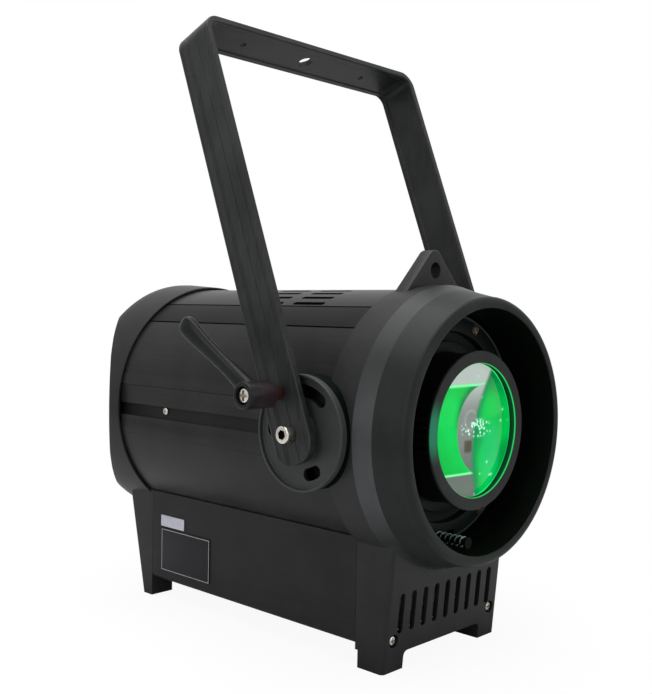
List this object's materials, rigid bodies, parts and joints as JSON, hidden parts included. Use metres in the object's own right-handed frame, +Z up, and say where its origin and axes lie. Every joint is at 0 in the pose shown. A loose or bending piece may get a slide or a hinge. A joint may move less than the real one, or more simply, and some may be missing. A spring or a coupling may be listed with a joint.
{
  "type": "led spotlight",
  "caption": "Round stage spotlight on a box base with a motor-driven front lens, held by a tilting yoke with a clamp lever on each side.",
  "frame": {"origin": "on the floor under the middle of the bounding box, below the lens axis plane", "axes": "+Z up, the lens faces -Y, the yoke's pivot runs along X"},
  "size_m": [0.3406, 0.366, 0.4885],
  "materials": {
    "black_paint": "satin black powder coat",
    "anodised_black": "satin black extrusion",
    "yoke_black": "satin black paint",
    "plastic": "matte black",
    "barrel_black": "matte dark grey",
    "steel": "bright steel",
    "brass": "turned brass",
    "aluminium": "bare aluminium",
    "mirror": "bright reflector",
    "lens_glass": "clear glass",
    "emitter": "green emitter",
    "green_board": "circuit board",
    "white_board": "white circuit board",
    "plate_black": "bare black plate",
    "foil": "bare silver foil",
    "window": "smoked window",
    "socket_blue": "blue insulator",
    "socket_grey": "grey insulator"
  },
  "bodies": {
    "housing": {"front_bezel": "black_paint", "rear_cover": "black_paint", "body_shell": "anodised_black", "base_tray": "black_paint", "skirt_screw_1": "steel", "skirt_screw_2": "steel", "guide_rod_1": "steel", "guide_rod_2": "steel", "guide_rod_3": "steel", "zoom_motor": "plastic", "lamp_plate": "aluminium", "led_board": "white_board", "led_emitter": "emitter", "reflector": "mirror", "heatsink": "aluminium", "fan_frame": "plastic", "fan_bracket": "aluminium", "power_supply": "aluminium", "driver_board": "green_board", "rating_plate": "plate_black", "small_sticker": "foil", "side_disc_left": "black_paint", "side_disc_right": "black_paint", "pivot_bolt_left": "steel", "pivot_bolt_right": "steel", "pivot_block_left": "aluminium", "pivot_block_right": "aluminium", "side_screw_left": "steel", "side_screw_right": "steel", "rear_panel": "black_paint", "power_inlet": "socket_blue", "power_outlet": "socket_grey", "data_inlet": "plastic", "data_outlet": "plastic", "display_window": "window", "display_board": "green_board"},
    "fan": {"fan_rotor": "plastic"},
    "zoom_carriage": {"lens_carriage": "black_paint", "slide_bush_1": "brass", "slide_bush_2": "brass", "slide_bush_3": "brass", "lead_nut": "brass", "lens_barrel": "barrel_black", "main_lens": "lens_glass", "lens_retainer": "barrel_black"},
    "zoom_screw": {"lead_screw": "steel", "stop_spring": "steel"},
    "yoke_frame": {"yoke": "yoke_black", "slider_nut_left": "steel", "slider_nut_right": "steel"},
    "stud_left": {"clamp_stud_left": "steel", "lever_screw_left": "steel"},
    "stud_right": {"clamp_stud_right": "steel", "lever_screw_right": "steel"},
    "lever_left": {"clamp_lever_left": "plastic"},
    "lever_right": {"clamp_lever_right": "plastic"},
    "menu_key": {"button_menu": "plastic"},
    "up_key": {"button_up": "plastic"},
    "down_key": {"button_down": "plastic"},
    "enter_key": {"button_enter": "plastic"}
  },
  "joints": [
    {"name": "yoke_tilt", "type": "hinge", "parent": "housing", "child": "yoke_frame", "pos_m": [0, -0.1001, 0.175], "axis": [-1, 0, 0], "range_deg": [-57, 68]},
    {"name": "lever_turn_left", "type": "hinge", "parent": "yoke_frame", "child": "stud_left", "pos_m": [-0.14, -0.08928, 0.20298], "axis": [-1, 0, 0], "range_deg": [-90, 90]},
    {"name": "lever_turn_right", "type": "hinge", "parent": "yoke_frame", "child": "stud_right", "pos_m": [0.14, -0.08928, 0.20298], "axis": [1, 0, 0], "range_deg": [-90, 90]},
    {"name": "lever_lift_left", "type": "slide", "parent": "stud_left", "child": "lever_left", "axis": [-1, 0, 0], "range_m": [0, 0.0035], "stiffness_N_per_m": 800, "springref_m": -0.002},
    {"name": "lever_lift_right", "type": "slide", "parent": "stud_right", "child": "lever_right", "axis": [1, 0, 0], "range_m": [0, 0.0035], "stiffness_N_per_m": 800, "springref_m": -0.002},
    {"name": "zoom_slide", "type": "slide", "parent": "housing", "child": "zoom_carriage", "axis": [0, 1, 0], "range_m": [0, 0.06]},
    {"name": "lead_screw_spin", "type": "hinge", "parent": "housing", "child": "zoom_screw", "pos_m": [-0.01484, -0.1, 0.09334], "axis": [0, 1, 0], "range_deg": [0, 2700]},
    {"name": "fan_spin", "type": "hinge", "parent": "housing", "child": "fan", "pos_m": [0, 0.05, 0.175], "axis": [0, 1, 0], "continuous": true},
    {"name": "menu_press", "type": "slide", "parent": "housing", "child": "menu_key", "axis": [0, -1, 0], "range_m": [0, 0.0015], "stiffness_N_per_m": 600},
    {"name": "up_press", "type": "slide", "parent": "housing", "child": "up_key", "axis": [0, -1, 0], "range_m": [0, 0.0015], "stiffness_N_per_m": 600},
    {"name": "down_press", "type": "slide", "parent": "housing", "child": "down_key", "axis": [0, -1, 0], "range_m": [0, 0.0015], "stiffness_N_per_m": 600},
    {"name": "enter_press", "type": "slide", "parent": "housing", "child": "enter_key", "axis": [0, -1, 0], "range_m": [0, 0.0015], "stiffness_N_per_m": 600}
  ],
  "couplings": [
    {"joint": "lead_screw_spin", "follows": "zoom_slide", "rad_per_m": 785.4}
  ]
}
